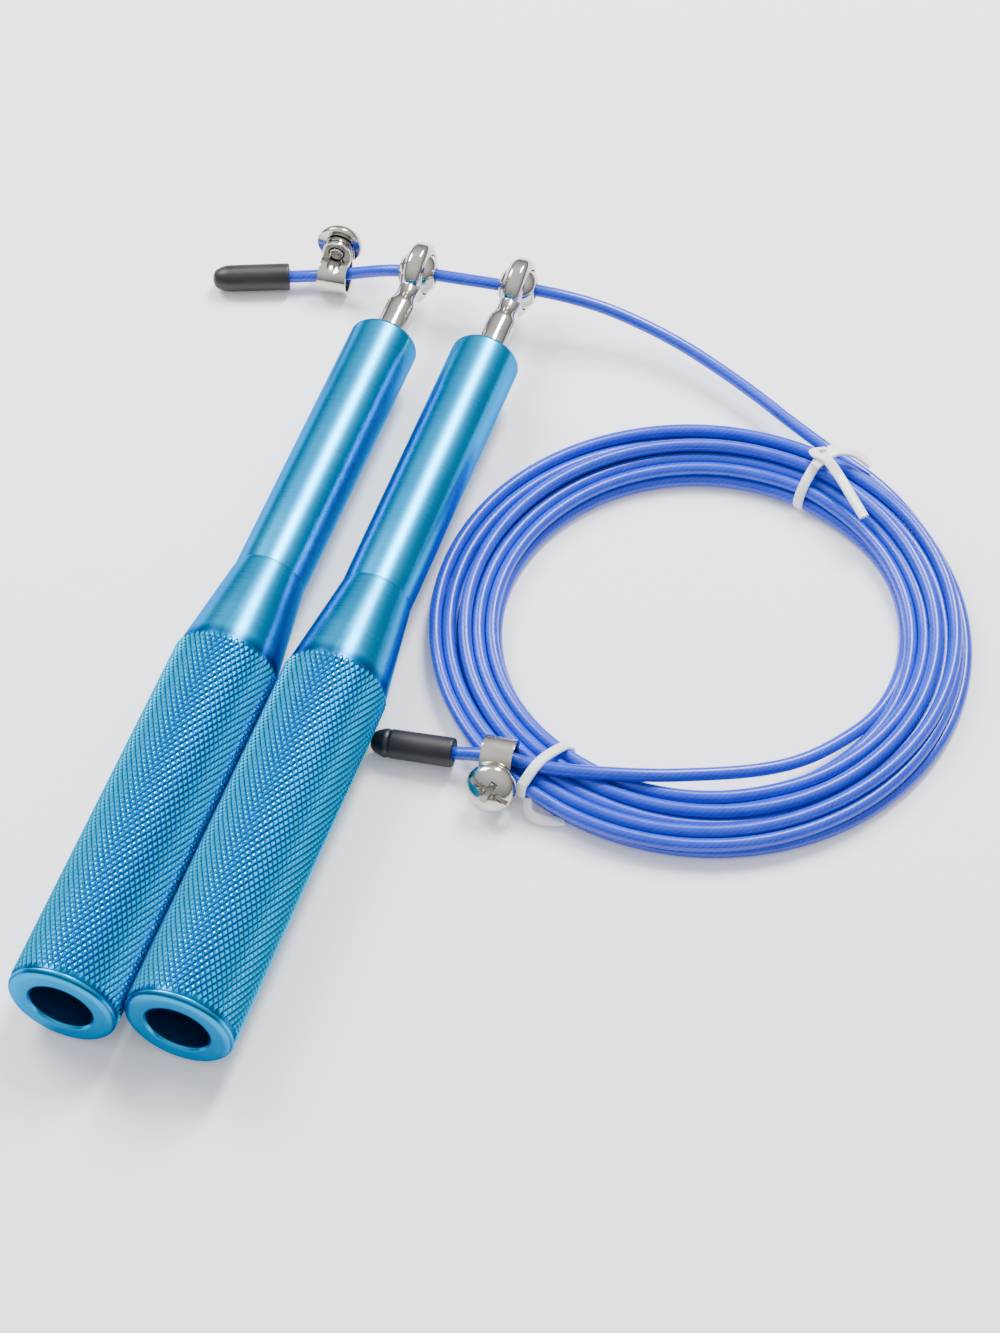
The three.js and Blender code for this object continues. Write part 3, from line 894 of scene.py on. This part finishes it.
# Rope clamps, drawn with the rope along Z, the ears out along X and the screw's head facing Y
def clamp_strap(label):
    """A strip rolled round the rope, with two ears that lie together and have round ends."""
    middle = STRAP_LOOP_R - STRAP_SHEET / 2
    lower = middle - STRAP_SHEET - STRAP_SLIT
    line = [(STRAP_EAR_END, middle), (5.5, middle), (3.5, middle), (1.5, middle), (0, middle)]
    last = 360 + math.degrees(math.asin(lower / middle))
    for angle in np.arange(96, last - 3, 6):
        line.append((middle * math.cos(math.radians(angle)), middle * math.sin(math.radians(angle))))
    line += [(x, lower) for x in (2.75, 3.3, 4.4, 5.5, STRAP_EAR_END)]
    fine = evenly(np.array([(x, y, 0) for x, y in line]), STRAP_SPACING)
    soften(fine, 10)
    half = STRAP_WIDTH / 2
    corner = STRAP_EAR_END - half
    across = np.linspace(-1, 1, STRAP_COLUMNS)
    vertices, faces = [], []
    for index, (x, y, _) in enumerate(fine):
        on_ear = index < len(fine) * 0.3 or index > len(fine) * 0.75
        width = math.sqrt(max(0.16, half**2 - max(0, x - corner) ** 2)) if on_ear else half
        vertices += [(x, y, width * t) for t in across]
    for i in range(len(fine) - 1):
        for j in range(STRAP_COLUMNS - 1):
            a = i * STRAP_COLUMNS + j
            faces.append([a, a + 1, a + STRAP_COLUMNS + 1, a + STRAP_COLUMNS])
    made = make_object("clamp_strap_" + label + "_metal", vertices, faces)
    solid = made.modifiers.new("sheet", "SOLIDIFY")
    solid.thickness = STRAP_SHEET * MM
    solid.offset = 0
    bpy.context.view_layer.update()
    bake_modifiers(made)
    weld(made)
    hole = CLAMP_SHANK_R + STRAP_DRILL_GAP
    drill = make_object("drill", *revolve([(0, -9), (hole, -9), (hole, 9), (0, 9)], 48))
    weld(drill)
    place(drill, (1, 0, 0), ALONG_Y, (CLAMP_SCREW_X, 0, 0))
    boolean(made, drill, "DIFFERENCE")
    return finish_edges(made, 0.13, 3, 50)


def driver_wing(top, turn):
    """One tapered wing of a cross recess."""
    vertices = []
    for rise, reach, half in (RECESS_ABOVE, RECESS_BELOW):
        y = top + rise
        vertices += [(-reach, y, -half), (reach, y, -half), (reach, y, half), (-reach, y, half)]
    faces = [[3, 2, 1, 0], [4, 5, 6, 7]]
    faces += [[i, (i + 1) % 4, 4 + (i + 1) % 4, 4 + i] for i in range(4)]
    made = make_object("wing", vertices, faces)
    weld(made)
    made.rotation_euler = (0, math.radians(turn), 0)
    return made


def clamp_screw(label):
    """A domed screw head with a cross recess and a slot right across it."""
    top = CLAMP_SEAT + CLAMP_HEAD_HEIGHT
    profile = [
        (0, CLAMP_TIP, 0),
        (CLAMP_SHANK_R, CLAMP_TIP, 0.25),
        (CLAMP_SHANK_R, CLAMP_SEAT, 0.1),
        (CLAMP_HEAD_R - 0.25, CLAMP_SEAT, 0.15),
        (CLAMP_HEAD_R, CLAMP_SEAT + 0.35, 0.3),
        (CLAMP_HEAD_R * 0.985, CLAMP_SEAT + 1.05, 0.4),
        (CLAMP_HEAD_R * 0.90, CLAMP_SEAT + 1.95, 0.6),
        (CLAMP_HEAD_R * 0.70, CLAMP_SEAT + 2.65, 0.8),
        (CLAMP_HEAD_R * 0.40, CLAMP_SEAT + 3.05, 0.9),
        (0, top, 0),
    ]
    made = make_object("clamp_screw_" + label + "_metal", *revolve(filleted(profile, 6), 72))
    weld(made)
    for turn in (RECESS_TURN, RECESS_TURN + 90):
        boolean(made, driver_wing(top, turn), "DIFFERENCE")
    slot = bpy.data.meshes.new("slot")
    shell = bmesh.new()
    bmesh.ops.create_cube(shell, size=MM)
    shell.to_mesh(slot)
    shell.free()
    slot = bpy.data.objects.new("slot", slot)
    bpy.context.scene.collection.objects.link(slot)
    slot.scale = SLOT_SIZE
    slot.rotation_euler = (0, math.radians(RECESS_TURN), 0)
    slot.location = Vector((0, top + SLOT_LIFT, 0)) * MM
    boolean(made, slot, "DIFFERENCE")
    finish_edges(made, 0.07, 2, 30)
    made.data.transform(Matrix.Translation((CLAMP_SCREW_X * MM, 0, 0)))
    return made


def rope_clamp(label, centre, along, tilt_degrees):
    """A strap and its screw on the rope, turned about it by the tilt."""
    along = normalised(np.array(along, float))
    level = normalised(np.cross((0, 0, 1), along))
    upright = np.cross(along, level)
    tilt = math.radians(tilt_degrees)
    ears = level * math.cos(tilt) + upright * math.sin(tilt)
    facing = level * math.sin(tilt) - upright * math.cos(tilt)
    strap, screw = clamp_strap(label), clamp_screw(label)
    for piece in (strap, screw):
        place(piece, ears, facing, centre)
    dress(strap, NICKEL, "rope", "nickel", "clamp_strap_" + label)
    dress(screw, NICKEL, "clamp_" + label + "_screw", "nickel", "clamp_screw_" + label)
    return [strap, screw]


clamps = rope_clamp("a", (-28, 86.1, 3.9), (1, 0.1, 0), 90)
clamps += rope_clamp("b", (42.7, -19.6, 6.75), (1, 0.08, 0.05), 235)


# Twist ties
def turn_of(a, b, c):
    """Above zero where the way from a by b to c bends left."""
    return (b[0] - a[0]) * (c[1] - a[1]) - (b[1] - a[1]) * (c[0] - a[0])


def bundle_outline(degrees, margin):
    """The outline round the turns at an angle, as (radius, height) points a margin off their skin."""
    near = np.abs((coil_degrees - degrees + 180) % 360 - 180) < 360 / SLICES / 2
    angles = np.radians(np.arange(0, 360, 10))
    cloud = sorted(
        (r + (ROPE_R + margin) * math.cos(a), z + (ROPE_R + margin) * math.sin(a))
        for r, z in zip(coil_radius[near], coil_height[near])
        for a in angles
    )
    hull = []
    for chain in (cloud, cloud[::-1]):
        start = len(hull)
        for p in chain:
            while len(hull) - start >= 2 and turn_of(hull[-2], hull[-1], p) <= 0:
                hull.pop()
            hull.append(p)
        hull.pop()
    return hull


OVAL = np.array(
    [
        (
            TIE_HALF_WIDTH * np.sign(math.cos(a)) * abs(math.cos(a)) ** 0.6,
            TIE_HALF_THICKNESS * np.sign(math.sin(a)) * abs(math.sin(a)) ** 0.8,
        )
        for a in np.linspace(0, 2 * math.pi, 20, endpoint=False)
    ]
)


def tie_loop(label, knot_radius):
    """The tie's turn round the bundle, from its knot on top and back to it."""
    degrees = TIE_ANGLES[label]
    outline = bundle_outline(degrees, TIE_HALF_THICKNESS + 0.15)
    top = min(range(len(outline)), key=lambda i: abs(outline[i][0] - knot_radius) - outline[i][1])
    outline = outline[top:] + outline[: top + 1]
    outward = np.array([math.cos(math.radians(degrees)), math.sin(math.radians(degrees)), 0])
    centre = np.array([COIL_X, COIL_Y, 0])
    path = evenly(np.array([centre + outward * r + np.array([0, 0, z]) for r, z in outline]), 0.5)
    soften(path, 30)
    path[:, 2] = np.maximum(path[:, 2], TIE_HALF_THICKNESS + 0.03)
    middle = path.mean(axis=0)
    ups = normalised(path - middle)
    return sweep(path, OVAL, ups)


def tie_band(points, ups):
    """A loose stretch of tie through points, its flat side facing the given ways."""
    path = smooth_route(points, 0.4)
    at = np.linspace(0, 1, len(path))
    given = np.linspace(0, 1, len(ups))
    facing = np.column_stack([np.interp(at, given, [u[k] for u in ups]) for k in range(3)])
    return sweep(path, OVAL, normalised(facing))


def twist_tie(label, knot_radius, bands):
    """A tie's loop round the bundle with its loose bands."""
    parts = [tie_loop(label, knot_radius)[:2]] + [tie_band(*band)[:2] for band in bands]
    made = make_object("twist_tie_" + label + "_wire", *merged(*parts), sharp_degrees=60)
    return dress(made, WHITE, "rope", "white_sheath", "twist_tie_" + label)


ties = [
    twist_tie(
        "a",
        46,
        [
            (
                [
                    (90.6, 54.9, 7.8), (87, 58.6, 8.6), (83.6, 62.2, 9.2), (80.6, 64.6, 9.9),
                    (78.2, 65.6, 9.6), (77.4, 67.2, 8.8), (79.2, 68.4, 8.6),
                ],
                [UP, UP, UP, (-0.3, 0.2, 1), (-0.8, 0.2, 0.6), (-0.5, 0.8, 0.5), (0.3, 0.8, 0.6)],
            ),
            (
                [
                    (78.6, 63.2, 9.0), (80.2, 66, 9.4), (82.2, 68.2, 9.2),
                    (85.2, 69.2, 8.4), (88.4, 68.6, 7.0),
                ],
                [(-0.3, -0.3, 1), UP, (0.2, 0.2, 1), UP, (0.2, 0.3, 1)],
            ),
        ],
    ),
    twist_tie(
        "b",
        50,
        [
            (
                [
                    (49.6, -24.2, 3.2), (50.4, -26.0, 1.6), (52.6, -26.6, 1.2),
                    (55.0, -26.2, 1.2), (57.0, -25.6, 1.5),
                ],
                [(-0.5, -0.8, 0.4), (-0.2, -0.8, 0.6), (0, -0.4, 0.9), (0, -0.2, 1), UP],
            ),
        ],
    ),
]


# Bearings and their fixings, hidden in the handles
for side in TAILS:
    for place_name in ("front", "rear"):
        for piece, material, slot_name in (
            ("outer_race", BEARING_STEEL, "bearing_steel"),
            ("inner_race", BEARING_STEEL, "bearing_steel"),
            ("ball_cage", BRASS, "cage_brass"),
        ):
            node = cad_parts[place_name + "_bearing_" + piece + "_" + side]
            node.data.materials.clear()
            node.data.materials.append(material)
    for name in ("bearing_spacer_", "retaining_washer_", "retaining_screw_"):
        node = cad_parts[name + side]
        node.data.materials.clear()
        node.data.materials.append(ZINC)


# Floor and light
floor_mesh = bpy.data.meshes.new("floor")
floor_mesh.from_pydata([(-3, -3, 0), (3, -3, 0), (3, 3, 0), (-3, 3, 0)], [], [[0, 1, 2, 3]])
floor = bpy.data.objects.new("floor", floor_mesh)
bpy.context.scene.collection.objects.link(floor)
floor_material = bpy.data.materials.new("floor")
_, _, floor_shader = links_of(floor_material)
floor_shader.inputs["Base Color"].default_value = (0.92, 0.92, 0.93, 1)
floor_shader.inputs["Roughness"].default_value = 0.6
floor_shader.inputs["Emission Color"].default_value = (0.95, 0.97, 1, 1)
floor_shader.inputs["Emission Strength"].default_value = 0.15
floor_mesh.materials.append(floor_material)

# A room that is bright overhead and dims towards the horizon
world = bpy.data.worlds.new("studio")
bpy.context.scene.world = world
world.use_nodes = True
world_nodes, world_links = world.node_tree.nodes, world.node_tree.links
sky = world_nodes.new("ShaderNodeSeparateXYZ")
world_links.new(world_nodes.new("ShaderNodeTexCoord").outputs["Generated"], sky.inputs[0])
glow = range_node(world_nodes, world_links, sky.outputs["Z"], 0.0, 0.85, 0.12, 1.25)
world_links.new(glow, world_nodes["Background"].inputs["Strength"])
world_nodes["Background"].inputs["Color"].default_value = (0.97, 0.98, 1, 1)


def softbox(name, location, target, size, watts):
    """A square-cornered area light aimed at a point."""
    light = bpy.data.lights.new(name, "AREA")
    light.shape = "RECTANGLE"
    light.size, light.size_y = size
    light.energy = watts
    box = bpy.data.objects.new(name, light)
    box.location = location
    box.rotation_euler = (Vector(target) - Vector(location)).to_track_quat("-Z", "Y").to_euler()
    bpy.context.scene.collection.objects.link(box)


softbox("key", (0.12, 0.62, 0.82), (0.0, 0.0, 0), (0.2, 0.5), 16)
softbox("side", (-0.55, 0.25, 0.7), (0.03, 0, 0), (0.4, 0.4), 9)
